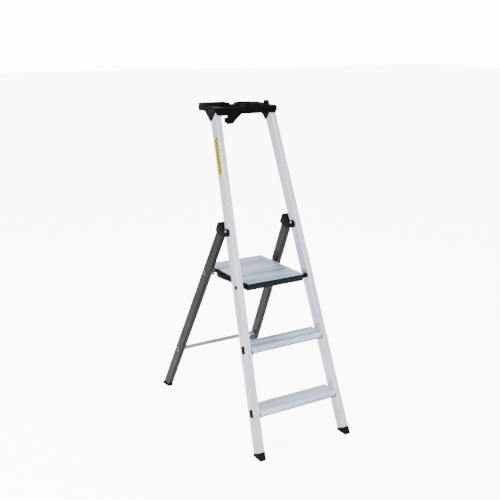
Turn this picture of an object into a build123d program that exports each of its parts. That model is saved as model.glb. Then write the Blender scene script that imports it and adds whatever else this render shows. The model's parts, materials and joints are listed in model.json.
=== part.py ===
"""Folding step ladder with two treads, a platform and a tool tray on the stile tops.

Units are millimetres. X runs across the ladder, Y from front to back, Z up. The floor is z = 0
and the origin is the middle of the ladder's footprint.
"""
import os
from math import asin, atan, atan2, cos, degrees, hypot, radians, sin, tan

from build123d import *

os.makedirs("parts", exist_ok=True)

# ---- overall sizes -------------------------------------------------------------------------
base_depth = 914.0            # front foot's front edge to rear foot's rear edge, on the floor
front_half_width = 236.0      # middle of the ladder to a stile's outer face, on the floor
rear_half_width = 242.0       # the same for a rear leg
lower_step_top = 190.0
step_rise = 250.0
top_height = 1400.0           # where the stile tops are cut

# ---- stiles --------------------------------------------------------------------------------
stile_lean = 20.4             # degrees back from upright
stile_toe = 3.22              # degrees that each stile turns in towards the top
stile_width = 26.0
stile_depth = 52.0
stile_wall = 1.8
tube_corner = 3.0

# ---- rear legs -----------------------------------------------------------------------------
leg_width = 22.5
leg_depth = 47.0
leg_wall = 1.8
leg_setback = 27.0            # pivot to the leg's front face
leg_top_drop = 20.0           # pivot to the leg's top end, along the leg

# ---- leg hinge -----------------------------------------------------------------------------
hinge_rise = 210.0            # platform's top to the pivot
hinge_inset = 21.0            # stile's rear face to the pivot
hinge_pin_radius = 4.0
hinge_head_radius = 5.0
ear_radius = 17.5
ear_drop = 7.0                # pivot to the middle of an ear, down the stile
ear_thickness = 5.0
ear_gap = 1.4                 # stile's side to an ear, at the pivot
fork_gap = 0.4                # stile's rear face to the fork's stop face
fork_wall = 2.5               # fork's wall behind the leg
fork_head_height = 42.0       # stop face's length above the pivot
fork_skirt = 56.0             # pivot to the fork's lower rear corner, along the leg
rivet_radius = 3.0

# ---- treads --------------------------------------------------------------------------------
tread_depth = 80.0
tread_plate = 2.6
nosing_height = 28.5          # black edge strip included
nosing_depth = 15.0
nosing_round = 3.0
edge_strip_height = 4.5
rear_lip_height = 17.0
rib_pitch = 6.0
rib_height = 1.2
rib_width = 3.0
band_groove = 9.0             # smooth groove between two bands of ribs
tread_margin = 9.0            # smooth border at a tread's front and back
tread_bands = 2
tread_wall = 2.2
tread_gap = 0.3               # stile's inner face to a tread
end_plug_width = 5.0          # black corner beside the stile, along X
end_plug_height = 13.0
tongue_length = 14.0
screw_radius = 2.4
screw_length = 26.0
screw_port_radius = 4.6

# ---- platform ------------------------------------------------------------------------------
platform_side_gap = 25.0      # stile's inner face to the platform, at the pivot
platform_overhang = 62.1      # rest tube to the platform's back
platform_front_inset = 2.0    # stile's front face to the platform's front, at the top
plank_count = 3
plank_bands = 2
plank_gap = 2.0
plank_height = 22.0
beam_depth = 34.0
beam_height = 29.5
beam_wall = 2.5
bracket_thickness = 4.0
bracket_foot = 6.0            # bracket's depth below the planks, at the front
hook_depth = 15.0             # bracket's depth below the rest tube, at the back
pivot_drop = 14.0             # platform's top to its pivot
pivot_depth = 18.0            # stile's front face to the platform's pivot
pivot_pin_radius = 4.0
bush_radius = 11.0

# ---- round tubes between the legs ----------------------------------------------------------
rest_tube_radius = 9.0
rest_tube_drop = 18.0         # platform's top to the rest tube's axis
brace_tube_radius = 9.0
brace_tube_height = 230.0
round_tube_wall = 1.6
collar_radius = 12.0
collar_thickness = 1.6
saddle_side_gap = 1.4
saddle_top_gap = 0.4

# ---- feet ----------------------------------------------------------------------------------
foot_wall = 2.5
foot_sole = 6.0
front_foot_tall = 38.0
front_foot_short = 9.0
rear_foot_height = 13.0
foot_plug = 32.0

# ---- tool tray -----------------------------------------------------------------------------
tray_end_wall = 7.0           # stile's outer face to the tray's end, at the top
tray_depth = 152.0
tray_wall = 3.0
stile_socket_depth = 14.0     # tray's underside to the stile's top
rim_height = 21.0             # these five are measured from the tray's underside
apron_drop = 10.0
box_height = 33.0
ring_height = 30.0
peg_height = 39.0
ring_radius = 66.0
ring_wall = 4.0
pot_lip = 7.0
socket_wall = 9.0             # stile's inner face to the pan, at the top
brush_slot_width = 28.0       # raised box to the pot ring
box_depth = 62.0

# ---- label ---------------------------------------------------------------------------------
label_length = 178.0
label_width = 38.0
label_drop = 194.0            # stile's top to the label's middle

# ---- clearances ----------------------------------------------------------------------------
slip = 0.15                   # plugs in tubes, tubes in sockets
pin_fit = 0.06                # pins that turn
seat_fit = 0.05               # screws and rivets in their holes

# ---- derived directions and places ---------------------------------------------------------
lean = radians(stile_lean)
toe = radians(stile_toe)
front_y = -base_depth / 2 + foot_wall / cos(lean)
platform_top = lower_step_top + 2 * step_rise
hinge_height = platform_top + hinge_rise
hinge_depth = stile_depth - hinge_inset
pivot_height = platform_top - pivot_drop
rest_tube_height = platform_top - rest_tube_drop


def stile_front(z):
    """Y of the stiles' front faces at height z."""
    return front_y + z * tan(lean)


hinge_y = stile_front(hinge_height) + hinge_depth / cos(lean)
pivot_y = stile_front(pivot_height) + pivot_depth / cos(lean)


def find_leg_lean():
    """Lean that keeps the leg's front face at leg_setback from the pivot and its foot in place."""
    angle = radians(27)
    for _ in range(20):
        foot_y = base_depth / 2 - (leg_depth + foot_wall) / cos(angle)
        run = foot_y - hinge_y
        angle = atan2(run, hinge_height) - asin(leg_setback / hypot(run, hinge_height))
    return angle, foot_y


leg_lean, leg_y = find_leg_lean()


def leg_front(z):
    """Y of the rear legs' front faces at height z."""
    return leg_y - z * tan(leg_lean)


front_frame = Plane(origin=(0, front_y, 0), x_dir=(1, 0, 0), z_dir=(0, -cos(lean), sin(lean)))
rear_frame = Plane(origin=(0, leg_y, 0), x_dir=(1, 0, 0), z_dir=(0, -cos(leg_lean), -sin(leg_lean)))


def stile_outer(y, z):
    """Distance from the middle to a stile's outer face, beside the point (y, z)."""
    return front_half_width - ((y - front_y) * sin(lean) + z * cos(lean)) * tan(toe)


stile_skin = stile_width / cos(toe)
pivot_inner = stile_outer(pivot_y, pivot_height) - stile_skin
platform_half_width = pivot_inner - platform_side_gap
hinge_middle = stile_outer(hinge_y, hinge_height) - stile_skin / 2
leg_length = (leg_y - hinge_y) * sin(leg_lean) + hinge_height * cos(leg_lean)
leg_toe = atan((rear_half_width - leg_width / 2 - hinge_middle) / leg_length)
leg_skin = leg_width / cos(leg_toe)


def leg_outer(y, z):
    """Distance from the middle to a rear leg's outer face, beside the point (y, z)."""
    return rear_half_width - ((leg_y - y) * sin(leg_lean) + z * cos(leg_lean)) * tan(leg_toe)


def across(x, y, z):
    """Location at a point, turned so that a cylinder or cone made there lies along X."""
    return Location((x, y, z), (0, 90, 0))


def save(piece, name):
    """Label a finished piece and write its file."""
    piece.label = name
    export_step(piece, f"parts/{name}.step")


def rail(side, plane, half_width, turn, width, depth, grow=0.0, start=-60.0, end=1700.0):
    """Solid four-sided bar that follows a stile or leg, its faces moved outwards by grow."""
    outer = half_width + grow / cos(turn)
    inner = half_width - (width + grow) / cos(turn)
    with BuildPart() as bar:
        with BuildSketch(plane.offset(grow)):
            with BuildLine():
                Polyline(
                    (side * (outer - start * tan(turn)), start),
                    (side * (outer - end * tan(turn)), end),
                    (side * (inner - end * tan(turn)), end),
                    (side * (inner - start * tan(turn)), start),
                    close=True,
                )
            make_face()
        extrude(amount=-(depth + 2 * grow))
    return bar.part


def stile_bar(side, grow=0.0):
    return rail(side, front_frame, front_half_width, toe, stile_width, stile_depth, grow)


def leg_bar(side, grow=0.0):
    return rail(side, rear_frame, rear_half_width, leg_toe, leg_width, leg_depth, grow)


def long_edges(builder):
    return builder.edges().filter_by(lambda edge: edge.length > 500)


def cut_below(z):
    split(bisect_by=Plane.XY.offset(z), keep=Keep.TOP)


def cut_above(z):
    split(bisect_by=Plane.XY.offset(z), keep=Keep.BOTTOM)


# ---- places of the treads and their screws -------------------------------------------------
step_tops = {"lower_step": lower_step_top, "upper_step": lower_step_top + step_rise}
port_drop = rib_height + tread_plate + screw_port_radius - 1.2   # tread top to a screw's axis
screw_offsets = (21.0, 38.0)                               # tread's front to each screw
cover_width = 24.0
cover_height = 34.0


def tread_front(top):
    return stile_front(top - nosing_height / 2)


def cover_middle(top):
    """Centre of the access hole over a tread's screws, as (y, z)."""
    z = top - port_drop - 8
    return stile_front(z) + 0.5 * stile_depth / cos(lean), z


# ---- tool tray's places --------------------------------------------------------------------
tray_floor_height = top_height - stile_socket_depth
tray_top = tray_floor_height + rim_height
apron_bottom = tray_floor_height - apron_drop
top_outer = stile_outer(stile_front(top_height), top_height)
tray_half_width = top_outer + tray_end_wall
tray_front_y = stile_front(apron_bottom) - 6.0
tray_back_y = tray_front_y + tray_depth
pan_half_width = top_outer - stile_skin - socket_wall
ring_x = pan_half_width + 6.0 - ring_radius
ring_y = tray_back_y - ring_radius - 3.0
box_right = ring_x - ring_radius - brush_slot_width
tray_screw_z = (tray_floor_height + top_height) / 2
tray_screw_ys = [stile_front(tray_screw_z) + share * stile_depth / cos(lean) for share in (0.25, 0.75)]


# ---- stiles --------------------------------------------------------------------------------
for side, side_name in ((-1, "left"), (1, "right")):
    with BuildPart() as stile:
        add(stile_bar(side))
        fillet(long_edges(stile), tube_corner)
        add(stile_bar(side, -stile_wall), mode=Mode.SUBTRACT)
        cut_below(foot_sole)
        cut_above(top_height)
        with Locations(across(side * hinge_middle, hinge_y, hinge_height)):
            Cylinder(hinge_pin_radius + seat_fit, 2 * stile_width, mode=Mode.SUBTRACT)
        with Locations(across(side * stile_outer(pivot_y, pivot_height), pivot_y, pivot_height)):
            Cylinder(pivot_pin_radius + seat_fit, 3 * stile_width, mode=Mode.SUBTRACT)
        for top in step_tops.values():
            # access hole in the outer wall only
            cover_y, cover_z = cover_middle(top)
            with BuildSketch(Plane.YZ.offset(side * (stile_outer(cover_y, cover_z) + 6))):
                with Locations(Location((cover_y, cover_z), -stile_lean)):
                    RectangleRounded(cover_width - 4, cover_height - 4, 4)
            extrude(amount=-side * 12, mode=Mode.SUBTRACT)
            for offset in screw_offsets:
                screw_y, screw_z = tread_front(top) + offset, top - port_drop
                inner_x = stile_outer(screw_y, screw_z) - stile_skin
                with Locations(across(side * inner_x, screw_y, screw_z)):
                    Cylinder(screw_radius + seat_fit, 10, mode=Mode.SUBTRACT)
        for screw_y in tray_screw_ys:
            with Locations(across(side * stile_outer(screw_y, tray_screw_z), screw_y, tray_screw_z)):
                Cylinder(screw_radius + seat_fit, 10, mode=Mode.SUBTRACT)
    save(stile.part, f"{side_name}_stile")


# ---- treads --------------------------------------------------------------------------------
def ribs_along(start, end, top, bands):
    """Bands of square ribs on a YZ sketch's upper edge, between two Y values."""
    band = (end - start - (bands - 1) * band_groove) / bands
    count = int((band - rib_width) // rib_pitch) + 1
    places = []
    for index in range(bands):
        middle = start + index * (band + band_groove) + band / 2
        places += [middle + (rib - (count - 1) / 2) * rib_pitch for rib in range(count)]
    with Locations([(y, top - rib_height) for y in places]):
        Rectangle(rib_width, rib_height, align=(Align.CENTER, Align.MIN))


def smooth_borders(front, back, top, width):
    """Raised smooth borders at the front and back of a ribbed plate, on a YZ sketch."""
    with Locations((front, top)):
        Rectangle(width, rib_height + 0.5, align=(Align.MIN, Align.MAX))
    with Locations((back, top)):
        Rectangle(width, rib_height + 0.5, align=(Align.MAX, Align.MAX))


def inner_face(side, z, offset):
    """Plane of a stile's inner face, moved towards the middle by offset, facing the middle."""
    normal = Vector(-side * cos(toe), -sin(toe) * sin(lean), -sin(toe) * cos(lean))
    corner_x = side * (stile_outer(stile_front(z), z) - stile_skin)
    point = Vector(corner_x, stile_front(z), z) + normal * offset
    return Plane(origin=point, x_dir=(0, cos(lean), -sin(lean)), z_dir=normal)


def corner_block(side, front, low, near, far):
    """Block at a nosing's lower end, between two distances from the stile's inner face."""
    with BuildPart(mode=Mode.PRIVATE) as block:
        with BuildSketch(Plane.YZ.offset(side * (front_half_width + 20))):
            with Locations((front, low)):
                Rectangle(nosing_depth, end_plug_height, align=(Align.MIN, Align.MIN))
        extrude(amount=-side * front_half_width)
        split(bisect_by=inner_face(side, low + end_plug_height, near), keep=Keep.TOP)
        split(bisect_by=inner_face(side, low + end_plug_height, far), keep=Keep.BOTTOM)
    return block.part


for name, top in step_tops.items():
    front = tread_front(top)
    back = front + tread_depth
    plate_top = top - rib_height
    strip_top = top - nosing_height + edge_strip_height
    with BuildPart() as tread:
        with BuildSketch(Plane.YZ.offset(-front_half_width)):
            with Locations((front, plate_top)):
                Rectangle(tread_depth, tread_plate, align=(Align.MIN, Align.MAX))
            ribs_along(front + tread_margin, back - tread_margin, top, tread_bands)
            smooth_borders(front, back, top, tread_margin - rib_width)
            # hollow nosing
            with Locations((front, plate_top)):
                Rectangle(nosing_depth, plate_top - strip_top, align=(Align.MIN, Align.MAX))
            with Locations((front + tread_wall, plate_top - tread_plate)):
                Rectangle(
                    nosing_depth - 2 * tread_wall,
                    plate_top - strip_top - tread_plate - tread_wall,
                    align=(Align.MIN, Align.MAX),
                    mode=Mode.SUBTRACT,
                )
            # rear lip and the two screw channels
            with Locations((back, plate_top)):
                Rectangle(tread_wall, rear_lip_height, align=(Align.MAX, Align.MAX))
            channels = [(front + offset, top - port_drop) for offset in screw_offsets]
            with Locations(channels):
                Circle(screw_port_radius)
            with Locations(channels):
                Circle(screw_radius + seat_fit, mode=Mode.SUBTRACT)
        extrude(amount=2 * front_half_width)
        front_edge = tread.edges().filter_by(Axis.X).sort_by(lambda edge: edge.center().Y - edge.center().Z)
        fillet(front_edge[0], nosing_round)
        for side in (-1, 1):
            split(bisect_by=inner_face(side, top, tread_gap), keep=Keep.TOP)
            add(corner_block(side, front, strip_top - 0.01, -9, end_plug_width), mode=Mode.SUBTRACT)
    save(tread.part, name)

# ---- black corners at the nosings' ends, with tongues in their hollows ---------------------
with BuildPart() as end_caps:
    for side in (-1, 1):
        for top in step_tops.values():
            front = tread_front(top)
            strip_top = top - nosing_height + edge_strip_height
            add(corner_block(side, front, strip_top - 0.03, 0.02, end_plug_width - 0.02))
            with BuildPart(mode=Mode.PRIVATE) as tongue:
                with BuildSketch(Plane.YZ.offset(side * (front_half_width + 20))):
                    with Locations((front + nosing_depth / 2, strip_top + tread_wall + slip)):
                        Rectangle(nosing_depth - 2 * (tread_wall + slip), end_plug_height - tread_wall - 1,
                                  align=(Align.CENTER, Align.MIN))
                extrude(amount=-side * front_half_width)
                split(bisect_by=inner_face(side, top, end_plug_width - 1), keep=Keep.TOP)
                split(bisect_by=inner_face(side, top, end_plug_width + tongue_length), keep=Keep.BOTTOM)
            add(tongue.part)
save(end_caps.part, "step_end_caps")

# ---- black strips along the undersides of the nosings --------------------------------------
with BuildPart() as edge_strips:
    for top in step_tops.values():
        with BuildPart(mode=Mode.PRIVATE) as strip:
            with BuildSketch(Plane.YZ.offset(-front_half_width)):
                with Locations((tread_front(top) + 0.6, top - nosing_height)):
                    Rectangle(nosing_depth - 1.2, edge_strip_height - 0.06, align=(Align.MIN, Align.MIN))
            extrude(amount=2 * front_half_width)
            for side in (-1, 1):
                split(bisect_by=inner_face(side, top - nosing_height, tread_gap), keep=Keep.TOP)
        add(strip.part)
save(edge_strips.part, "step_edge_strips")

# ---- tread screws, their heads inside the stiles -------------------------------------------
with BuildPart() as step_screws:
    for side in (-1, 1):
        for top in step_tops.values():
            screw_z = top - port_drop
            for offset in screw_offsets:
                screw_y = tread_front(top) + offset
                face_x = stile_outer(screw_y, screw_z) - stile_skin + stile_wall + 0.4
                with Locations(across(side * (face_x - screw_length / 2), screw_y, screw_z)):
                    Cylinder(screw_radius, screw_length)
                with Locations(across(side * (face_x + 1.4), screw_y, screw_z)):
                    Cylinder(4.4, 2.8)
save(step_screws.part, "step_screws")

# ---- covers over the access holes ----------------------------------------------------------
with BuildPart() as covers:
    for side in (-1, 1):
        for top in step_tops.values():
            cover_y, cover_z = cover_middle(top)
            normal = Vector(side * cos(toe), sin(toe) * sin(lean), sin(toe) * cos(lean))
            seat = Plane(
                origin=(side * stile_outer(cover_y, cover_z), cover_y, cover_z),
                x_dir=(0, cos(lean), -sin(lean)),
                z_dir=normal,
            )
            with BuildSketch(seat.offset(0.02)):
                RectangleRounded(cover_width, cover_height, 5)
            extrude(amount=1.8)
            with BuildSketch(seat.offset(-stile_wall - 2)):
                RectangleRounded(cover_width - 5, cover_height - 5, 3.5)
            extrude(amount=stile_wall + 3)
save(covers.part, "stile_covers")

# ---- front feet ----------------------------------------------------------------------------
for side, side_name in ((-1, "left"), (1, "right")):
    rear_y = stile_front(0) + stile_depth / cos(lean)
    rise = front_foot_tall - front_foot_short
    slope = Plane(
        origin=(0, rear_y, front_foot_short),
        x_dir=(1, 0, 0),
        z_dir=(0, rise, rear_y - front_y),
    )
    with BuildPart() as foot:
        add(stile_bar(side, foot_wall))
        fillet(long_edges(foot), tube_corner + foot_wall)
        cut_below(0)
        split(bisect_by=slope, keep=Keep.BOTTOM)
        with BuildPart(mode=Mode.PRIVATE) as socket:
            add(stile_bar(side, slip))
            fillet(long_edges(socket), tube_corner + slip)
            cut_below(foot_sole)
        add(socket.part, mode=Mode.SUBTRACT)
        with BuildPart(mode=Mode.PRIVATE) as plug:
            add(stile_bar(side, -stile_wall - slip))
            cut_below(foot_sole - 1)
            cut_above(foot_sole + foot_plug)
        add(plug.part)
    save(foot.part, f"{side_name}_front_foot")

# ---- rear legs -----------------------------------------------------------------------------
leg_up = Vector(0, -sin(leg_lean), cos(leg_lean))
leg_back = Vector(0, cos(leg_lean), sin(leg_lean))
hinge_point = Vector(0, hinge_y, hinge_height)
stile_up = Vector(0, sin(lean), cos(lean))
stile_back = Vector(0, cos(lean), -sin(lean))
leg_end = Plane(origin=hinge_point - leg_up * leg_top_drop, x_dir=(1, 0, 0), z_dir=leg_up)


def mid_leg(z):
    """Y of the rear legs' middle at height z."""
    return leg_front(z) + leg_depth / 2 / cos(leg_lean)


rest_tube_y = mid_leg(rest_tube_height) + 6.0
brace_tube_y = mid_leg(brace_tube_height)
round_tubes = {
    "platform_rest_tube": (rest_tube_y, rest_tube_height, rest_tube_radius),
    "rear_brace_tube": (brace_tube_y, brace_tube_height, brace_tube_radius),
}
rivet_point = hinge_point - leg_up * (leg_top_drop + 12) + leg_back * (leg_setback + leg_depth / 2)


for side, side_name in ((-1, "left"), (1, "right")):
    with BuildPart() as leg:
        add(leg_bar(side))
        fillet(long_edges(leg), tube_corner)
        add(leg_bar(side, -leg_wall), mode=Mode.SUBTRACT)
        cut_below(foot_sole)
        split(bisect_by=leg_end, keep=Keep.BOTTOM)
        for tube_y, tube_z, radius in round_tubes.values():
            with Locations(across(side * leg_outer(tube_y, tube_z), tube_y, tube_z)):
                Cylinder(radius + seat_fit, 3 * leg_width, mode=Mode.SUBTRACT)
        with Locations(across(side * hinge_middle, rivet_point.Y, rivet_point.Z)):
            Cylinder(rivet_radius + seat_fit, 2 * leg_width, mode=Mode.SUBTRACT)
    save(leg.part, f"{side_name}_rear_leg")

    with BuildPart() as rear_foot:
        add(leg_bar(side, foot_wall))
        fillet(long_edges(rear_foot), tube_corner + foot_wall)
        cut_below(0)
        cut_above(rear_foot_height)
        with BuildPart(mode=Mode.PRIVATE) as socket:
            add(leg_bar(side, slip))
            fillet(long_edges(socket), tube_corner + slip)
            cut_below(foot_sole)
        add(socket.part, mode=Mode.SUBTRACT)
        with BuildPart(mode=Mode.PRIVATE) as plug:
            add(leg_bar(side, -leg_wall - slip))
            cut_below(foot_sole - 1)
            cut_above(foot_sole + foot_plug)
        add(plug.part)
    save(rear_foot.part, f"{side_name}_rear_foot")

# ---- round tubes across the rear frame -----------------------------------------------------
for name, (tube_y, tube_z, radius) in round_tubes.items():
    reach = leg_outer(tube_y, tube_z)
    with BuildPart() as tube:
        with Locations(across(0, tube_y, tube_z)):
            Cylinder(radius, 2 * (reach + 2.5))
        for side in (-1, 1):
            outside = reach + collar_radius * tan(leg_toe) + 0.1 + collar_thickness / 2
            inside = reach - leg_skin - collar_radius * tan(leg_toe) - 0.1 - collar_thickness / 2
            for edge_x in (outside, inside):
                with Locations(across(side * edge_x, tube_y, tube_z)):
                    Cylinder(collar_radius, collar_thickness)
        with Locations(across(0, tube_y, tube_z)):
            Cylinder(radius - round_tube_wall, 2 * (reach + 10), mode=Mode.SUBTRACT)
    save(tube.part, name)


# ---- hinge forks ---------------------------------------------------------------------------
def from_hinge(back, up):
    """Side-view point (y, z), measured from the pivot along the leg's directions."""
    point = hinge_point + leg_back * back + leg_up * up
    return point.Y, point.Z


def at_stile(back, up):
    """The same, measured along the stile's directions."""
    point = hinge_point + stile_back * back + stile_up * up
    return point.Y, point.Z


stop_distance = hinge_inset + fork_gap
fork_rear = leg_setback + leg_depth + fork_wall
ear_inner = stile_width / 2 + ear_gap
ear_outer = ear_inner + ear_thickness
# where the stop face meets the line that the stile's rear face reaches when folded
half_fold = (lean + leg_lean) / 2
corner_direction = Vector(0, cos((lean - leg_lean) / 2), -sin((lean - leg_lean) / 2))
corner = hinge_point + corner_direction * (stop_distance / cos(half_fold))

for side, side_name in ((-1, "left"), (1, "right")):
    fork_middle = side * hinge_middle
    with BuildPart() as fork:
        # block behind the stile and over the leg's end, with an ear reaching forward to the pivot
        with BuildSketch(Plane.YZ.offset(fork_middle - ear_outer)):
            with BuildLine():
                Polyline(
                    at_stile(stop_distance, fork_head_height),
                    from_hinge(fork_rear, -leg_top_drop / 2),
                    from_hinge(fork_rear, -fork_skirt),
                    from_hinge(leg_setback - 3, -fork_skirt + 4),
                    at_stile(0, -ear_drop - ear_radius),
                    at_stile(0, ear_radius - ear_drop),
                    at_stile(stop_distance, ear_radius - ear_drop),
                    close=True,
                )
            make_face()
            with Locations(at_stile(0, -ear_drop)):
                Circle(ear_radius)
        extrude(amount=2 * ear_outer)
        rear_edges = fork.edges().filter_by(Axis.X).sort_by(Axis.Y)
        fillet(rear_edges[-3:-1], 3)
        # slot that the stile stands in when open and turns into when folded
        with BuildSketch(Plane.YZ.offset(fork_middle - ear_inner)):
            with BuildLine():
                Polyline(
                    at_stile(stop_distance, 90),
                    (corner.Y, corner.Z),
                    from_hinge(stop_distance, -120),
                    at_stile(-80, -120),
                    at_stile(-80, 90),
                    close=True,
                )
            make_face()
        extrude(amount=2 * ear_inner, mode=Mode.SUBTRACT)
        # below the pivot the slot widens outwards, because the stile leans that way
        below_pivot = Plane(origin=(fork_middle, hinge_y, hinge_height), x_dir=(1, 0, 0), z_dir=leg_back)
        with BuildSketch(below_pivot.offset(-60)):
            with BuildLine():
                Polyline(
                    (0, 0),
                    (side * ear_inner, 0),
                    (side * (ear_inner + 80 * tan(toe)), 80),
                    (0, 80),
                    close=True,
                )
            make_face()
        extrude(amount=60 + stop_distance, mode=Mode.SUBTRACT)
        # pocket for the leg
        with BuildPart(mode=Mode.PRIVATE) as pocket:
            add(leg_bar(side, slip))
            fillet(long_edges(pocket), tube_corner + slip)
            split(bisect_by=leg_end.offset(0.4), keep=Keep.BOTTOM)
        add(pocket.part, mode=Mode.SUBTRACT)
        with Locations(across(fork_middle, hinge_y, hinge_height)):
            Cylinder(hinge_pin_radius + pin_fit, 3 * ear_outer, mode=Mode.SUBTRACT)
        with Locations(across(fork_middle, rivet_point.Y, rivet_point.Z)):
            Cylinder(rivet_radius + seat_fit, 3 * ear_outer, mode=Mode.SUBTRACT)
    save(fork.part, f"{side_name}_hinge_fork")

with BuildPart() as fork_rivets:
    for side in (-1, 1):
        with Locations(across(side * hinge_middle, rivet_point.Y, rivet_point.Z)):
            Cylinder(rivet_radius, 2 * ear_outer + 1)
        for end in (-1, 1):
            head_x = side * hinge_middle + end * (ear_outer + 0.8 + 0.05)
            with Locations(across(head_x, rivet_point.Y, rivet_point.Z)):
                Cylinder(5.0, 1.6)
save(fork_rivets.part, "fork_rivets")

# ---- hinge pins and the spacers on them ----------------------------------------------------
with BuildPart() as hinge_pins:
    for side in (-1, 1):
        with Locations(across(side * hinge_middle, hinge_y, hinge_height)):
            Cylinder(hinge_pin_radius, 2 * ear_outer + 3)
        for end in (-1, 1):
            head_x = side * hinge_middle + end * (ear_outer + 0.2 + 1.25)
            with Locations(across(head_x, hinge_y, hinge_height)):
                Cylinder(hinge_head_radius, 2.5)
save(hinge_pins.part, "hinge_pins")

with BuildPart() as spacers:
    for side in (-1, 1):
        with Locations(across(side * hinge_middle, hinge_y, hinge_height)):
            Cylinder(7.0, stile_width - 2 * stile_wall - 1.2)
            Cylinder(hinge_pin_radius + seat_fit, stile_width, mode=Mode.SUBTRACT)
save(spacers.part, "hinge_spacers")

# ---- platform ------------------------------------------------------------------------------
platform_front = stile_front(platform_top) + platform_front_inset
platform_back = rest_tube_y + platform_overhang
platform_depth = platform_back - platform_front
deck_half_width = platform_half_width - bracket_thickness
plank_depth = (platform_depth - (plank_count - 1) * plank_gap) / plank_count
beam_top = platform_top - rib_height - tread_plate - 0.02
beam_front = platform_front + 1.0
plank_screws = []
deck_port_drop = port_drop + 3.0
screw_shares = (0.6, 0.5, 0.8)   # keep the screw channels clear of the beam and of the rest tube
for index, name in enumerate(("front_plank", "middle_plank", "rear_plank")):
    front = platform_front + index * (plank_depth + plank_gap)
    back = front + plank_depth
    plate_top = platform_top - rib_height
    screw_y = front + plank_depth * screw_shares[index]
    screw_z = platform_top - deck_port_drop
    plank_screws.append((screw_y, screw_z))
    with BuildPart() as plank:
        with BuildSketch(Plane.YZ.offset(-platform_half_width)):
            with Locations((front, plate_top)):
                Rectangle(plank_depth, tread_plate, align=(Align.MIN, Align.MAX))
            ribs_along(front + rib_width, back - rib_width, platform_top, plank_bands)
            smooth_borders(front, back, platform_top, rib_width)
        extrude(amount=2 * platform_half_width)
        with BuildSketch(Plane.YZ.offset(-deck_half_width)):
            first_web = beam_front + beam_depth + 0.5 if index == 0 else front
            with Locations((first_web, plate_top)):
                Rectangle(tread_wall, plank_height, align=(Align.MIN, Align.MAX))
            with Locations((back, plate_top)):
                Rectangle(tread_wall, plank_height, align=(Align.MAX, Align.MAX))
            with Locations((screw_y, screw_z)):
                Rectangle(2 * tread_wall, deck_port_drop - tread_plate, align=(Align.CENTER, Align.MIN))
                Circle(screw_port_radius)
                Circle(screw_radius + seat_fit, mode=Mode.SUBTRACT)
        extrude(amount=2 * deck_half_width)
    save(plank.part, name)

with BuildPart() as beam:
    with BuildSketch(Plane.YZ.offset(-platform_half_width)):
        with Locations((beam_front, beam_top)):
            Rectangle(beam_depth, beam_height, align=(Align.MIN, Align.MAX))
        with Locations((beam_front + beam_wall, beam_top - beam_wall)):
            Rectangle(beam_depth - 2 * beam_wall, beam_height - 2 * beam_wall,
                      align=(Align.MIN, Align.MAX), mode=Mode.SUBTRACT)
    extrude(amount=2 * platform_half_width)
save(beam.part, "platform_front_beam")

# ---- side brackets with a hook over the rest tube ------------------------------------------
bracket_front = beam_front + beam_depth + 0.3
bracket_top = platform_top - rib_height - tread_plate - 0.05
ledge_top = platform_top - rib_height - plank_height - 0.05
ledge_width = 14.0
saddle_half = rest_tube_radius + saddle_side_gap
saddle_flare = 32.0             # degrees that the hook's mouth opens towards the front
for side, side_name in ((-1, "left"), (1, "right")):
    inner_x = deck_half_width + 0.05
    hook_bottom = rest_tube_height - rest_tube_radius - hook_depth
    with BuildPart() as bracket:
        with BuildSketch(Plane.YZ.offset(side * inner_x)):
            with BuildLine():
                Polyline(
                    (bracket_front, bracket_top),
                    (platform_back, bracket_top),
                    (platform_back, hook_bottom),
                    (rest_tube_y - 16, hook_bottom),
                    (bracket_front, ledge_top - bracket_foot),
                    close=True,
                )
            make_face()
        extrude(amount=side * (platform_half_width - inner_x))
        fillet(bracket.edges().filter_by(Axis.X), 3)
        # ledge under the planks
        with BuildSketch(Plane.YZ.offset(side * (inner_x - ledge_width))):
            with Locations((bracket_front + 3, ledge_top)):
                Rectangle(rest_tube_y - 34 - bracket_front, 2, align=(Align.MIN, Align.MAX))
        extrude(amount=side * (ledge_width + 1))
        # open hook: round over the tube, then flared to the front so that the tube leaves freely
        with BuildSketch(Plane.YZ.offset(side * (inner_x - 12))):
            with Locations((rest_tube_y, rest_tube_height + saddle_top_gap - saddle_side_gap)):
                Circle(saddle_half)
            with BuildLine():
                Polyline(
                    (rest_tube_y + saddle_half, rest_tube_height),
                    (rest_tube_y - saddle_half, rest_tube_height),
                    (rest_tube_y - saddle_half - 40 * tan(radians(saddle_flare)), rest_tube_height - 40),
                    (rest_tube_y + saddle_half, rest_tube_height - 40),
                    close=True,
                )
            make_face()
        extrude(amount=side * 24, mode=Mode.SUBTRACT)
        for screw_y, screw_z in plank_screws:
            with Locations(across(side * platform_half_width, screw_y, screw_z)):
                Cylinder(screw_radius + seat_fit, 20, mode=Mode.SUBTRACT)
    save(bracket.part, f"{side_name}_platform_bracket")

with BuildPart() as platform_screws:
    for side in (-1, 1):
        for screw_y, screw_z in plank_screws:
            with Locations(across(side * (platform_half_width + 0.1 - 10), screw_y, screw_z)):
                Cylinder(screw_radius, 20)
            with Locations(across(side * (platform_half_width + 0.1 + 1.2), screw_y, screw_z)):
                Cylinder(4.6, 2.4)
save(platform_screws.part, "platform_screws")

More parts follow.
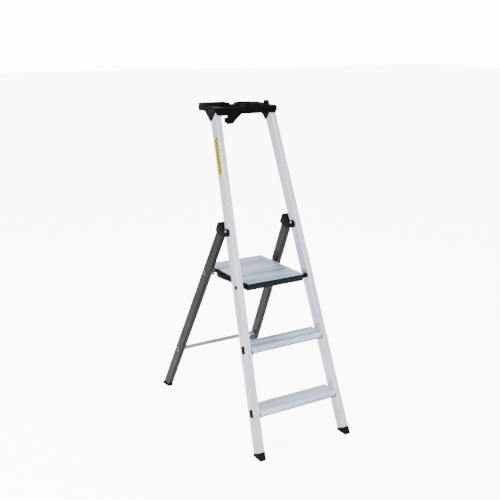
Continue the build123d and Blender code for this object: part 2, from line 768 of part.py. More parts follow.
# ---- platform pivots -----------------------------------------------------------------------
bush_plug = 20.0
with BuildPart() as bushes:
    for side in (-1, 1):
        start = platform_half_width + 0.05
        end = pivot_inner - bush_radius * tan(toe) - 0.6
        with BuildSketch(Plane.YZ.offset(side * start)):
            with Locations((pivot_y, pivot_height)):
                Circle(bush_radius)
        extrude(amount=side * (end - start))
        with BuildSketch(Plane.YZ.offset(side * (start + 0.5))):
            with Locations((beam_front + beam_depth / 2, beam_top - beam_height / 2)):
                Rectangle(beam_depth - 2 * beam_wall - 2 * slip, beam_height - 2 * beam_wall - 2 * slip)
        extrude(amount=-side * bush_plug)
        with Locations(across(side * start, pivot_y, pivot_height)):
            Cylinder(pivot_pin_radius + pin_fit, 120, mode=Mode.SUBTRACT)
save(bushes.part, "platform_bushes")

with BuildPart() as pivot_pins:
    for side in (-1, 1):
        inner_end = platform_half_width - bush_plug + 3
        outer_end = stile_outer(pivot_y, pivot_height) + 0.6
        with Locations(across(side * (inner_end + outer_end) / 2, pivot_y, pivot_height)):
            Cylinder(pivot_pin_radius, outer_end - inner_end)
save(pivot_pins.part, "platform_pivot_pins")

with BuildPart() as pivot_caps:
    for side in (-1, 1):
        cap_x = stile_outer(pivot_y, pivot_height) + 0.65 + 1.2
        with Locations(across(side * cap_x, pivot_y, pivot_height)):
            Cylinder(8.5, 2.4)
    fillet(pivot_caps.edges().filter_by(GeomType.CIRCLE).group_by(Axis.X)[0], 1)
    fillet(pivot_caps.edges().filter_by(GeomType.CIRCLE).group_by(Axis.X)[-1], 1)
save(pivot_caps.part, "pivot_caps")

# ---- tool tray -----------------------------------------------------------------------------
tray_middle_y = (tray_front_y + tray_back_y) / 2
apron_wall = 4.0
pan_floor = tray_floor_height + tray_wall
box_width = tray_half_width + box_right
with BuildPart() as tray:
    # shallow pan with thick ends that hold the stile tops
    with BuildSketch(Plane.XY.offset(tray_floor_height)):
        with Locations((0, tray_middle_y)):
            RectangleRounded(2 * tray_half_width, tray_depth, 6)
    extrude(amount=tray_top - tray_floor_height)
    # raised box at the back left
    with BuildSketch(Plane.XY.offset(tray_floor_height)):
        with Locations((-tray_half_width, tray_back_y)):
            Rectangle(box_width, box_depth, align=(Align.MIN, Align.MAX))
    extrude(amount=box_height)
    # hollows: pan, front trough and box
    with BuildSketch(Plane.XY.offset(pan_floor)):
        with Locations((box_right + tray_wall, tray_front_y + apron_wall)):
            Rectangle(pan_half_width - box_right - tray_wall, tray_depth - apron_wall - tray_wall,
                      align=(Align.MIN, Align.MIN))
        with Locations((-pan_half_width, tray_front_y + apron_wall)):
            Rectangle(pan_half_width + box_right, tray_depth - box_depth - apron_wall - tray_wall,
                      align=(Align.MIN, Align.MIN))
        with Locations((-tray_half_width + tray_wall, tray_back_y - tray_wall)):
            Rectangle(box_width - 2 * tray_wall, box_depth - 2 * tray_wall,
                      align=(Align.MIN, Align.MAX))
    extrude(amount=60, mode=Mode.SUBTRACT)
    # pot ring with a lip at its bottom
    with Locations((ring_x, ring_y, tray_floor_height)):
        Cylinder(ring_radius, ring_height, align=(Align.CENTER, Align.CENTER, Align.MIN))
        Cylinder(ring_radius - ring_wall - pot_lip, 100, mode=Mode.SUBTRACT)
    with Locations((ring_x, ring_y, pan_floor)):
        Cylinder(ring_radius - ring_wall, 100, align=(Align.CENTER, Align.CENTER, Align.MIN),
                 mode=Mode.SUBTRACT)
    # peg at the right end
    with BuildSketch(Plane.XY.offset(tray_top - 1)):
        with Locations((tray_half_width - 15, ring_y - 12)):
            RectangleRounded(24, 24, 5)
    extrude(amount=peg_height - rim_height + 1, taper=8)
    # front apron
    with BuildSketch(Plane.XY.offset(apron_bottom)):
        with Locations((0, tray_front_y)):
            Rectangle(2 * tray_half_width - 14, apron_wall, align=(Align.CENTER, Align.MIN))
    extrude(amount=tray_floor_height - apron_bottom + 1)
    # bucket hook under the front edge, open to the left
    hook_thickness = 9.0
    hook_left = 25 - tray_half_width
    with BuildSketch(Plane.XZ.offset(-tray_front_y - hook_thickness)):
        with BuildLine():
            Polyline(
                (hook_left, tray_floor_height + 1),
                (hook_left, apron_bottom - 4),
                (hook_left + 37, apron_bottom - 4),
                (hook_left + 37, apron_bottom - 13),
                (hook_left + 23, apron_bottom - 12),
                (hook_left + 23, apron_bottom - 30),
                (hook_left + 36, apron_bottom - 41),
                (hook_left + 60, apron_bottom - 40),
                (hook_left + 108, apron_bottom + 2),
                (hook_left + 108, tray_floor_height + 1),
                close=True,
            )
        make_face()
    extrude(amount=hook_thickness)
    # gussets behind the stile tops, and sockets that the tops stand in
    for side in (-1, 1):
        gusset_low = apron_bottom - 34
        with BuildSketch(Plane.YZ.offset(side * (stile_outer(tray_front_y, top_height) - stile_width))):
            with BuildLine():
                Polyline(
                    (stile_front(gusset_low) + stile_depth / cos(lean) - 4, gusset_low),
                    (stile_front(gusset_low) + stile_depth / cos(lean) + 4, gusset_low),
                    (tray_back_y - 44, tray_floor_height + 2),
                    (stile_front(tray_floor_height), tray_floor_height + 2),
                    close=True,
                )
            make_face()
        extrude(amount=side * (stile_width + 2))
        with BuildPart(mode=Mode.PRIVATE) as top_space:
            add(stile_bar(side, slip))
            cut_above(top_height + slip)
        add(top_space.part, mode=Mode.SUBTRACT)
        for screw_y in tray_screw_ys:
            with Locations(across(side * tray_half_width, screw_y, tray_screw_z)):
                Cylinder(screw_radius + seat_fit, 30, mode=Mode.SUBTRACT)
    # holes for screwdrivers in the front trough
    hole_xs = [13 - pan_half_width + 20 * index for index in range(3)]
    with Locations([(x, tray_front_y + 24, tray_floor_height) for x in hole_xs]):
        Cylinder(5.0, 40, mode=Mode.SUBTRACT)
save(tray.part, "tool_tray")

with BuildPart() as tray_screws:
    for side in (-1, 1):
        for screw_y in tray_screw_ys:
            with Locations(across(side * (tray_half_width + 0.05 - 5), screw_y, tray_screw_z)):
                Cylinder(screw_radius, 10)
            with Locations(across(side * (tray_half_width + 0.05 + 1), screw_y, tray_screw_z)):
                Cylinder(4.2, 2)
save(tray_screws.part, "tray_screws")

# ---- sticker on the left stile's outer face ------------------------------------------------
label_z = top_height - label_drop
label_y = stile_front(label_z) + stile_depth / 2 / cos(lean)
label_plane = Plane(
    origin=(-stile_outer(label_y, label_z), label_y, label_z),
    x_dir=(0, cos(lean), -sin(lean)),
    z_dir=(-cos(toe), sin(toe) * sin(lean), sin(toe) * cos(lean)),
)
with BuildPart() as label:
    with BuildSketch(label_plane.offset(0.02)):
        RectangleRounded(label_width, label_length, label_width / 2 - 0.5)
    extrude(amount=0.4)
save(label.part, "stile_label")

print(f"leg lean {degrees(leg_lean):.2f}, leg toe {degrees(leg_toe):.2f}")
print(f"hinge y {hinge_y:.2f} z {hinge_height}, platform pivot y {pivot_y:.2f} z {pivot_height}")
print(f"platform {platform_front:.2f} to {platform_back:.2f}, rest tube y {rest_tube_y:.2f}")
print(f"pot ring x {ring_x:.2f} y {ring_y:.2f} z {tray_floor_height}")
print(f"brace tube y {brace_tube_y:.2f}, tray y {tray_front_y:.2f} to {tray_back_y:.2f}")
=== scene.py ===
import json
from math import cos, pi, radians, sin

import bmesh
import bpy
from mathutils import Matrix, Vector


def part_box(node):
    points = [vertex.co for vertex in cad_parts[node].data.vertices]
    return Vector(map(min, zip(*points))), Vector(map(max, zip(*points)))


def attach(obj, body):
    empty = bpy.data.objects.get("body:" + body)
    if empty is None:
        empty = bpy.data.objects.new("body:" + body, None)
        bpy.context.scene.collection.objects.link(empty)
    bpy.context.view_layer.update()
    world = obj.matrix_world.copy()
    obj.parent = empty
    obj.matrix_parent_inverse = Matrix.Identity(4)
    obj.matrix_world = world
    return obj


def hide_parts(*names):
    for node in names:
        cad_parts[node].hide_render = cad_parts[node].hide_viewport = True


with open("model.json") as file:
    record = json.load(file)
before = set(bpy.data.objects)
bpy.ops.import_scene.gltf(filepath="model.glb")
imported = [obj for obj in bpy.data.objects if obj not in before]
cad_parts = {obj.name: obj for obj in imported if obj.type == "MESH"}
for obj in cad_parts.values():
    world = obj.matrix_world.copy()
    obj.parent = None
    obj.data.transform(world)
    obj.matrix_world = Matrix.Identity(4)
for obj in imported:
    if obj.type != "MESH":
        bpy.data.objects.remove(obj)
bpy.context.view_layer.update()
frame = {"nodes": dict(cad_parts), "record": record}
nodes = frame["nodes"]
bodyOf = {node: body for body, names in frame["record"]["behaviour"]["bodies"].items() for node in names}
slotOf = {part["node"]: part["material_slot"] for part in frame["record"]["subparts"]}
print("frame loaded,", len(nodes), "nodes")

lean, legLean, toe = radians(20.4), radians(26.96), radians(3.22)

# shader groups


def newGroup(name, inputs, outputs):
    group = bpy.data.node_groups.new(name, "ShaderNodeTree")
    for label, kind, value in inputs:
        socket = group.interface.new_socket(name=label, in_out="INPUT", socket_type=kind)
        socket.default_value = value
    for label, kind in outputs:
        group.interface.new_socket(name=label, in_out="OUTPUT", socket_type=kind)
    return group, group.nodes.new("NodeGroupInput"), group.nodes.new("NodeGroupOutput")


def mathNode(tree, operation, first, second=None, clamp=False):
    node = tree.nodes.new("ShaderNodeMath")
    node.operation = operation
    node.use_clamp = clamp
    for index, value in enumerate((first, second)):
        if isinstance(value, bpy.types.NodeSocket):
            tree.links.new(value, node.inputs[index])
        elif value is not None:
            node.inputs[index].default_value = value
    return node.outputs[0]


def rangeNode(tree, value, low, high, newLow, newHigh):
    node = tree.nodes.new("ShaderNodeMapRange")
    tree.links.new(value, node.inputs["Value"])
    for label, number in (("From Min", low), ("From Max", high), ("To Min", newLow), ("To Max", newHigh)):
        if isinstance(number, bpy.types.NodeSocket):
            tree.links.new(number, node.inputs[label])
        else:
            node.inputs[label].default_value = number
    return node.outputs["Result"]


# Noise in object space, turned by a socket and stretched by a fixed scale
def turnedNoise(tree, turn, size, detail, seed):
    coords = tree.nodes.new("ShaderNodeTexCoord")
    mapping = tree.nodes.new("ShaderNodeMapping")
    tree.links.new(coords.outputs["Object"], mapping.inputs["Vector"])
    tree.links.new(turn, mapping.inputs["Rotation"])
    mapping.inputs["Location"].default_value = (seed, seed * 0.7, seed * 1.3)
    stretch = tree.nodes.new("ShaderNodeVectorMath")
    stretch.operation = "MULTIPLY"
    tree.links.new(mapping.outputs[0], stretch.inputs[0])
    if isinstance(size, bpy.types.NodeSocket):
        tree.links.new(size, stretch.inputs[1])
    else:
        stretch.inputs[1].default_value = size
    noise = tree.nodes.new("ShaderNodeTexNoise")
    noise.inputs["Scale"].default_value = 1.0
    noise.inputs["Detail"].default_value = detail
    tree.links.new(stretch.outputs[0], noise.inputs["Vector"])
    return noise.outputs[0]


# Fine lines and broad bands along an extrusion, as masks and a normal
def makeDieLines():
    group, start, end = newGroup(
        "dieLines",
        [("Turn", "NodeSocketVector", (0, 0, 0)), ("Fine", "NodeSocketVector", (900, 900, 4)),
         ("Broad", "NodeSocketVector", (60, 60, 1.5)), ("Depth", "NodeSocketFloat", 0.1)],
        [("Lines", "NodeSocketFloat"), ("Bands", "NodeSocketFloat"), ("Normal", "NodeSocketVector")])
    fine = turnedNoise(group, start.outputs["Turn"], start.outputs["Fine"], 3, 0.3)
    broad = turnedNoise(group, start.outputs["Turn"], start.outputs["Broad"], 2, 1.9)
    lines = rangeNode(group, fine, 0.3, 0.7, 0, 1)
    bands = rangeNode(group, broad, 0.4, 0.6, 0, 1)
    bump = group.nodes.new("ShaderNodeBump")
    bump.inputs["Distance"].default_value = 0.0002
    group.links.new(start.outputs["Depth"], bump.inputs["Strength"])
    group.links.new(fine, bump.inputs["Height"])
    group.links.new(lines, end.inputs["Lines"])
    group.links.new(bands, end.inputs["Bands"])
    group.links.new(bump.outputs[0], end.inputs["Normal"])
    return group


# Mask of the edges, broken up by noise, for worn edges and for a painted highlight along the edges of the
# dark parts
def makeEdgeWearAndHighlight():
    group, start, end = newGroup(
        "edgeWearAndHighlight",
        [("Width", "NodeSocketFloat", 0.001), ("Amount", "NodeSocketFloat", 1.0)],
        [("Mask", "NodeSocketFloat")])
    bevel = group.nodes.new("ShaderNodeBevel")
    bevel.samples = 4
    group.links.new(start.outputs["Width"], bevel.inputs["Radius"])
    geometry = group.nodes.new("ShaderNodeNewGeometry")
    dot = group.nodes.new("ShaderNodeVectorMath")
    dot.operation = "DOT_PRODUCT"
    group.links.new(bevel.outputs[0], dot.inputs[0])
    group.links.new(geometry.outputs["Normal"], dot.inputs[1])
    edge = rangeNode(group, dot.outputs["Value"], 1.0, 0.85, 0, 1)
    coords = group.nodes.new("ShaderNodeTexCoord")
    noise = group.nodes.new("ShaderNodeTexNoise")
    noise.inputs["Scale"].default_value = 60
    noise.inputs["Detail"].default_value = 4
    group.links.new(coords.outputs["Object"], noise.inputs["Vector"])
    broken = rangeNode(group, noise.outputs[0], 0.35, 0.65, 0.45, 1)
    mask = mathNode(group, "MULTIPLY", mathNode(group, "MULTIPLY", edge, broken), start.outputs["Amount"],
                    True)
    group.links.new(mask, end.inputs["Mask"])
    return group


# Dust that lies on upward faces, and faint smudges everywhere
def makeDust():
    group, start, end = newGroup(
        "dust",
        [("Amount", "NodeSocketFloat", 0.3), ("Size", "NodeSocketFloat", 18.0)],
        [("Dust", "NodeSocketFloat"), ("Smudge", "NodeSocketFloat")])
    coords = group.nodes.new("ShaderNodeTexCoord")
    noise = group.nodes.new("ShaderNodeTexNoise")
    noise.inputs["Detail"].default_value = 6
    noise.inputs["Roughness"].default_value = 0.62
    group.links.new(coords.outputs["Object"], noise.inputs["Vector"])
    group.links.new(start.outputs["Size"], noise.inputs["Scale"])
    smudge = rangeNode(group, noise.outputs[0], 0.38, 0.68, 0, 1)
    geometry = group.nodes.new("ShaderNodeNewGeometry")
    split = group.nodes.new("ShaderNodeSeparateXYZ")
    group.links.new(geometry.outputs["Normal"], split.inputs[0])
    upward = rangeNode(group, split.outputs["Z"], 0.2, 0.9, 0.15, 1)
    dust = mathNode(group, "MULTIPLY", mathNode(group, "MULTIPLY", upward, smudge),
                    start.outputs["Amount"], True)
    group.links.new(dust, end.inputs["Dust"])
    group.links.new(smudge, end.inputs["Smudge"])
    return group


# Fine moulded texture as a normal, and a speckle mask
def makeGrain():
    group, start, end = newGroup(
        "grain",
        [("Scale", "NodeSocketFloat", 1400.0), ("Depth", "NodeSocketFloat", 0.2)],
        [("Speckle", "NodeSocketFloat"), ("Normal", "NodeSocketVector")])
    coords = group.nodes.new("ShaderNodeTexCoord")
    cells = group.nodes.new("ShaderNodeTexVoronoi")
    group.links.new(coords.outputs["Object"], cells.inputs["Vector"])
    group.links.new(start.outputs["Scale"], cells.inputs["Scale"])
    bump = group.nodes.new("ShaderNodeBump")
    bump.inputs["Distance"].default_value = 0.0003
    group.links.new(start.outputs["Depth"], bump.inputs["Strength"])
    group.links.new(cells.outputs["Distance"], bump.inputs["Height"])
    group.links.new(cells.outputs["Distance"], end.inputs["Speckle"])
    group.links.new(bump.outputs[0], end.inputs["Normal"])
    return group


groups = {"dieLines": makeDieLines(), "edgeWearAndHighlight": makeEdgeWearAndHighlight(), "dust": makeDust(), "grain": makeGrain()}
print("shader groups made")

# materials


def useGroup(tree, name, **values):
    node = tree.nodes.new("ShaderNodeGroup")
    node.node_tree = groups[name]
    for label, value in values.items():
        node.inputs[label].default_value = value
    return node


def mixColor(tree, mask, first, second):
    node = tree.nodes.new("ShaderNodeMix")
    node.data_type = "RGBA"
    tree.links.new(mask, node.inputs["Factor"])
    for label, value in (("A", first), ("B", second)):
        socket = next(s for s in node.inputs if s.name == label and s.type == "RGBA")
        if isinstance(value, bpy.types.NodeSocket):
            tree.links.new(value, socket)
        else:
            socket.default_value = (*value, 1)
    return next(s for s in node.outputs if s.type == "RGBA")


def newMaterial(name, metallic, roughness):
    material = bpy.data.materials.new(name)
    material.use_nodes = True
    tree = material.node_tree
    shader = tree.nodes["Principled BSDF"]
    shader.inputs["Metallic"].default_value = metallic
    shader.inputs["Roughness"].default_value = roughness
    return material, tree, shader


# Extruded or drawn metal with die lines, broad bands, worn edges and smudges
def metalMaterial(name, look):
    material, tree, shader = newMaterial(name, look["metallic"], look["roughness"])
    lines = useGroup(tree, "dieLines", Turn=look["turn"], Fine=look["fine"], Broad=look["broad"],
                     Depth=look["depth"])
    edgeWearAndLight = useGroup(tree, "edgeWearAndHighlight", Width=look["edge"], Amount=look["edgeWearAndLight"])
    dust = useGroup(tree, "dust", Amount=look["dust"], Size=14.0)
    banded = mixColor(tree, lines.outputs["Bands"], look["dark"], look["light"])
    fineMask = mathNode(tree, "MULTIPLY", lines.outputs["Lines"], 0.35)
    lined = mixColor(tree, fineMask, banded, look["light"])
    edgeWornAndLit = mixColor(tree, edgeWearAndLight.outputs["Mask"], lined, look["edgeWornAndLit"])
    dusty = mixColor(tree, dust.outputs["Dust"], edgeWornAndLit, look["dustColor"])
    tree.links.new(dusty, shader.inputs["Base Color"])
    rough = rangeNode(tree, dust.outputs["Smudge"], 0, 1, look["roughness"] - 0.05, look["roughness"] + 0.08)
    roughLines = rangeNode(tree, lines.outputs["Lines"], 0, 1, -0.03, 0.03)
    tree.links.new(mathNode(tree, "ADD", rough, roughLines), shader.inputs["Roughness"])
    tree.links.new(lines.outputs["Normal"], shader.inputs["Normal"])
    return material


# Moulded plastic, rubber, coated or blackened metal with grain, pale edges and dust; the pale edges are
# partly wear and partly a painted highlight
def plasticMaterial(name, look):
    material, tree, shader = newMaterial(name, look["metallic"], look["roughness"])
    grain = useGroup(tree, "grain", Scale=look["scale"], Depth=look["depth"])
    edgeWearAndLight = useGroup(tree, "edgeWearAndHighlight", Width=look["edge"], Amount=look["edgeWearAndLight"])
    dust = useGroup(tree, "dust", Amount=look["dust"], Size=look["dustSize"])
    speckle = mathNode(tree, "MULTIPLY", grain.outputs["Speckle"], 0.5, True)
    base = mixColor(tree, speckle, look["dark"], look["light"])
    # paler edges: partly wear, and on the dark parts partly a painted highlight
    edgeWornAndLit = mixColor(tree, edgeWearAndLight.outputs["Mask"], base, look["edgeWornAndLit"])
    dusty = mixColor(tree, dust.outputs["Dust"], edgeWornAndLit, look["dustColor"])
    tree.links.new(dusty, shader.inputs["Base Color"])
    rough = rangeNode(tree, dust.outputs["Smudge"], 0, 1, look["roughness"] - 0.06, look["roughness"] + 0.1)
    tree.links.new(rough, shader.inputs["Roughness"])
    tree.links.new(grain.outputs["Normal"], shader.inputs["Normal"])
    shader.inputs["Specular IOR Level"].default_value = look["gloss"]
    return material


along = (900, 900, 4)
across = (4, 900, 900)
metalLooks = {
    "stile_aluminium": {"metallic": 0.8, "roughness": 0.42, "turn": (lean, 0, 0), "fine": along,
                        "broad": (70, 70, 2.6), "depth": 0.12, "edge": 0.0008, "edgeWearAndLight": 0.15, "dust": 0.1,
                        "dark": (0.60, 0.65, 0.78), "light": (0.84, 0.87, 0.96), "edgeWornAndLit": (0.90, 0.91, 0.95),
                        "dustColor": (0.62, 0.62, 0.61)},
    "tread_aluminium": {"metallic": 0.85, "roughness": 0.34, "turn": (0, 0, 0), "fine": across,
                        "broad": (1.6, 34, 34), "depth": 0.12, "edge": 0.0008, "edgeWearAndLight": 0.5, "dust": 0.08,
                        "dark": (0.36, 0.50, 0.66), "light": (0.74, 0.84, 0.96), "edgeWornAndLit": (0.88, 0.92, 0.97),
                        "dustColor": (0.55, 0.55, 0.53)},
    "leg_anodised": {"metallic": 0.7, "roughness": 0.36, "turn": (-legLean, 0, 0), "fine": along,
                     "broad": (80, 80, 1.5), "depth": 0.1, "edge": 0.0010, "edgeWearAndLight": 0.45, "dust": 0.06,
                     "dark": (0.008, 0.008, 0.0085), "light": (0.030, 0.030, 0.031),
                     "edgeWornAndLit": (0.30, 0.30, 0.30),
                     "dustColor": (0.2, 0.2, 0.19)},
    "tube_aluminium": {"metallic": 0.9, "roughness": 0.3, "turn": (0, 0, 0), "fine": across,
                       "broad": (3, 60, 60), "depth": 0.08, "edge": 0.0008, "edgeWearAndLight": 0.4, "dust": 0.12,
                       "dark": (0.16, 0.165, 0.17), "light": (0.38, 0.385, 0.40), "edgeWornAndLit": (0.8, 0.8, 0.81),
                       "dustColor": (0.55, 0.55, 0.53)},
    "zinc_steel": {"metallic": 1.0, "roughness": 0.28, "turn": (0, 0, 0), "fine": (1200, 1200, 1200),
                   "broad": (200, 200, 200), "depth": 0.1, "edge": 0.0005, "edgeWearAndLight": 0.5, "dust": 0.1,
                   "dark": (0.55, 0.56, 0.57), "light": (0.76, 0.77, 0.78), "edgeWornAndLit": (0.9, 0.9, 0.9),
                   "dustColor": (0.4, 0.4, 0.38)},
}
# the pale edge colours below are partly wear and, on these dark parts, partly a painted highlight along the
# edges
plasticLooks = {
    "black_plastic": {"metallic": 0.0, "gloss": 0.05, "roughness": 0.42, "scale": 1500.0, "depth": 0.14,
                      "edge": 0.0010,
                      "edgeWearAndLight": 0.3, "dust": 0.08, "dustSize": 16.0, "dark": (0.0012, 0.0012, 0.0015),
                      "light": (0.003, 0.003, 0.0036), "edgeWornAndLit": (0.05, 0.05, 0.055),
                      "dustColor": (0.06, 0.06, 0.06)},
    "foot_rubber": {"metallic": 0.0, "gloss": 0.08, "roughness": 0.72, "scale": 900.0, "depth": 0.3,
                    "edge": 0.0012,
                    "edgeWearAndLight": 0.3, "dust": 0.12, "dustSize": 30.0, "dark": (0.003, 0.003, 0.0033),
                    "light": (0.008, 0.008, 0.0084), "edgeWornAndLit": (0.04, 0.04, 0.04),
                    "dustColor": (0.08, 0.078, 0.075)},
    "beam_paint": {"metallic": 0.3, "gloss": 0.14, "roughness": 0.36, "scale": 2200.0, "depth": 0.06,
                   "edge": 0.001, "edgeWearAndLight": 0.3, "dust": 0.06, "dustSize": 20.0, "dark": (0.004, 0.010, 0.012),
                   "light": (0.009, 0.019, 0.023), "edgeWornAndLit": (0.07, 0.10, 0.11),
                   "dustColor": (0.08, 0.09, 0.09)},
    "black_steel": {"metallic": 0.8, "gloss": 0.5, "roughness": 0.38, "scale": 2500.0, "depth": 0.06,
                    "edge": 0.0004, "edgeWearAndLight": 0.6, "dust": 0.1, "dustSize": 40.0, "dark": (0.04, 0.04, 0.043),
                    "light": (0.07, 0.07, 0.074), "edgeWornAndLit": (0.3, 0.3, 0.31), "dustColor": (0.2, 0.2, 0.2)},
    "label_film": {"metallic": 0.0, "gloss": 0.4, "roughness": 0.3, "scale": 500.0, "depth": 0.02,
                   "edge": 0.0006, "edgeWearAndLight": 0.2, "dust": 0.06, "dustSize": 35.0, "dark": (0.62, 0.50, 0.008),
                   "light": (0.72, 0.60, 0.015), "edgeWornAndLit": (0.75, 0.68, 0.2), "dustColor": (0.45, 0.40, 0.1)},
    "label_ink": {"metallic": 0.0, "gloss": 0.2, "roughness": 0.4, "scale": 800.0, "depth": 0.03,
                  "edge": 0.0003, "edgeWearAndLight": 0.1, "dust": 0.05, "dustSize": 60.0, "dark": (0.002, 0.002, 0.002),
                  "light": (0.004, 0.004, 0.0036), "edgeWornAndLit": (0.1, 0.09, 0.04),
                  "dustColor": (0.08, 0.07, 0.04)},
}
materials = {name: metalMaterial(name, look) for name, look in metalLooks.items()}
materials.update({name: plasticMaterial(name, look) for name, look in plasticLooks.items()})
for name, node in nodes.items():
    node.data.materials.clear()
    node.data.materials.append(materials[slotOf[name]])
print("materials made and given to every node")

# pieces that stand for CAD nodes
# metres, then degrees
mergeDistance, flatAngle, roundAngle, creaseAngle, detailCrease = 1e-6, 0.6, 38, 35, 40


# Turns modifiers into a plain mesh with smooth faces and sharp creases
def finishMesh(piece, angle=creaseAngle):
    graph = bpy.context.evaluated_depsgraph_get()
    mesh = bpy.data.meshes.new_from_object(piece.evaluated_get(graph))
    piece.modifiers.clear()
    piece.data = mesh
    mesh.shade_smooth()
    mesh.set_sharp_from_angle(angle=radians(angle))
    return piece


# Merged copy of a node's mesh, in the row frame
def nodeMesh(name):
    mesh = nodes[name].data.copy()
    mesh.transform(nodes[name].matrix_world)
    shape = bmesh.new()
    shape.from_mesh(mesh)
    bmesh.ops.remove_doubles(shape, verts=shape.verts, dist=mergeDistance)
    bmesh.ops.dissolve_limit(shape, angle_limit=radians(flatAngle), verts=shape.verts, edges=shape.edges)
    shape.to_mesh(mesh)
    shape.free()
    return mesh


def newPiece(name, mesh, slot):
    piece = bpy.data.objects.new(name, mesh)
    bpy.context.scene.collection.objects.link(piece)
    mesh.materials.clear()
    mesh.materials.append(materials[slot])
    return piece


# Copy of a node with rounded edges, shown instead of it
def roundedCopy(name, size, segments):
    mesh = nodeMesh(name)
    piece = newPiece("soft_" + name, mesh, slotOf[name])
    bevel = piece.modifiers.new("round", "BEVEL")
    bevel.width = size
    bevel.segments = segments
    bevel.limit_method = "ANGLE"
    bevel.angle_limit = radians(roundAngle)
    bevel.use_clamp_overlap = True
    finishMesh(piece)
    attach(piece, bodyOf[name])
    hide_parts(name)
    return piece


# edge radius in metres and segments
roundSizes = {
    "tool_tray": (0.0009, 2), "left_hinge_fork": (0.0008, 2), "right_hinge_fork": (0.0008, 2),
    "left_platform_bracket": (0.0007, 2), "right_platform_bracket": (0.0007, 2),
    "platform_bushes": (0.0007, 2), "stile_covers": (0.0005, 2), "step_end_caps": (0.0004, 2),
    "left_front_foot": (0.0009, 2), "right_front_foot": (0.0009, 2),
    "left_rear_foot": (0.0009, 2), "right_rear_foot": (0.0009, 2),
    "platform_front_beam": (0.0008, 2),
}
for name, (size, segments) in roundSizes.items():
    roundedCopy(name, size, segments)
print("rounded pieces made")

# repeated details from geometry nodes


def newNodes(name, inputs):
    tree = bpy.data.node_groups.new(name, "GeometryNodeTree")
    tree.interface.new_socket(name="Geometry", in_out="INPUT", socket_type="NodeSocketGeometry")
    for label, kind, value in inputs:
        socket = tree.interface.new_socket(name=label, in_out="INPUT", socket_type=kind)
        if value is not None:
            socket.default_value = value
    tree.interface.new_socket(name="Geometry", in_out="OUTPUT", socket_type="NodeSocketGeometry")
    return tree, tree.nodes.new("NodeGroupInput"), tree.nodes.new("NodeGroupOutput")


# Puts a shape on every point, turned and sized by the points' own values
def placeCopies(tree, start, end, shape):
    copies = tree.nodes.new("GeometryNodeInstanceOnPoints")
    tree.links.new(start.outputs["Geometry"], copies.inputs["Points"])
    tree.links.new(shape, copies.inputs["Instance"])
    for label, socket in (("turn", "Rotation"), ("size", "Scale")):
        value = tree.nodes.new("GeometryNodeInputNamedAttribute")
        value.data_type = "FLOAT_VECTOR"
        value.inputs["Name"].default_value = label
        tree.links.new(value.outputs["Attribute"], copies.inputs[socket])
    real = tree.nodes.new("GeometryNodeRealizeInstances")
    tree.links.new(copies.outputs[0], real.inputs[0])
    paint = tree.nodes.new("GeometryNodeSetMaterial")
    tree.links.new(real.outputs[0], paint.inputs["Geometry"])
    tree.links.new(start.outputs["Material"], paint.inputs["Material"])
    tree.links.new(paint.outputs[0], end.inputs["Geometry"])


# shares of a head's radius
recess = {"height": 0.34, "depth": 0.5, "length": 1.15}


# Domed screw head of radius 1 with a cross recess, or a plain domed rivet head
def makeHeadNodes():
    tree, start, end = newNodes("domedHeads", [
        ("Dome", "NodeSocketFloat", 0.3), ("Slot", "NodeSocketFloat", 0.3), ("Sides", "NodeSocketInt", 32),
        ("Material", "NodeSocketMaterial", None)])
    ball = tree.nodes.new("GeometryNodeMeshUVSphere")
    ball.inputs["Rings"].default_value = 16
    tree.links.new(start.outputs["Sides"], ball.inputs["Segments"])
    flat = tree.nodes.new("GeometryNodeTransform")
    tree.links.new(ball.outputs["Mesh"], flat.inputs["Geometry"])
    squeeze = tree.nodes.new("ShaderNodeCombineXYZ")
    squeeze.inputs["X"].default_value = squeeze.inputs["Y"].default_value = 1
    tree.links.new(start.outputs["Dome"], squeeze.inputs["Z"])
    tree.links.new(squeeze.outputs[0], flat.inputs["Scale"])
    cut = tree.nodes.new("GeometryNodeMeshBoolean")
    cut.operation = "DIFFERENCE"
    tree.links.new(flat.outputs[0], cut.inputs[0])
    for turned in (0, 1):
        block = tree.nodes.new("GeometryNodeMeshCube")
        size = tree.nodes.new("ShaderNodeCombineXYZ")
        size.inputs["Z"].default_value = recess["depth"]
        size.inputs[turned].default_value = recess["length"]
        tree.links.new(start.outputs["Slot"], size.inputs[1 - turned])
        tree.links.new(size.outputs[0], block.inputs["Size"])
        lift = tree.nodes.new("GeometryNodeTransform")
        lift.inputs["Translation"].default_value = (0, 0, recess["height"])
        tree.links.new(block.outputs["Mesh"], lift.inputs["Geometry"])
        tree.links.new(lift.outputs[0], cut.inputs[1])
    placeCopies(tree, start, end, cut.outputs["Mesh"])
    return tree


# Plain bar of size 1
def makeBarNodes():
    tree, start, end = newNodes("bars", [("Material", "NodeSocketMaterial", None)])
    block = tree.nodes.new("GeometryNodeMeshCube")
    placeCopies(tree, start, end, block.outputs["Mesh"])
    return tree


# Round rod of diameter 1 and length 1 along Z
def makeRibNodes():
    tree, start, end = newNodes("rods", [
        ("Sides", "NodeSocketInt", 16), ("Material", "NodeSocketMaterial", None)])
    rod = tree.nodes.new("GeometryNodeMeshCylinder")
    rod.inputs["Radius"].default_value = 0.5
    rod.inputs["Depth"].default_value = 1.0
    tree.links.new(start.outputs["Sides"], rod.inputs["Vertices"])
    placeCopies(tree, start, end, rod.outputs["Mesh"])
    return tree


detailNodes = {"heads": makeHeadNodes(), "bars": makeBarNodes(), "rods": makeRibNodes()}


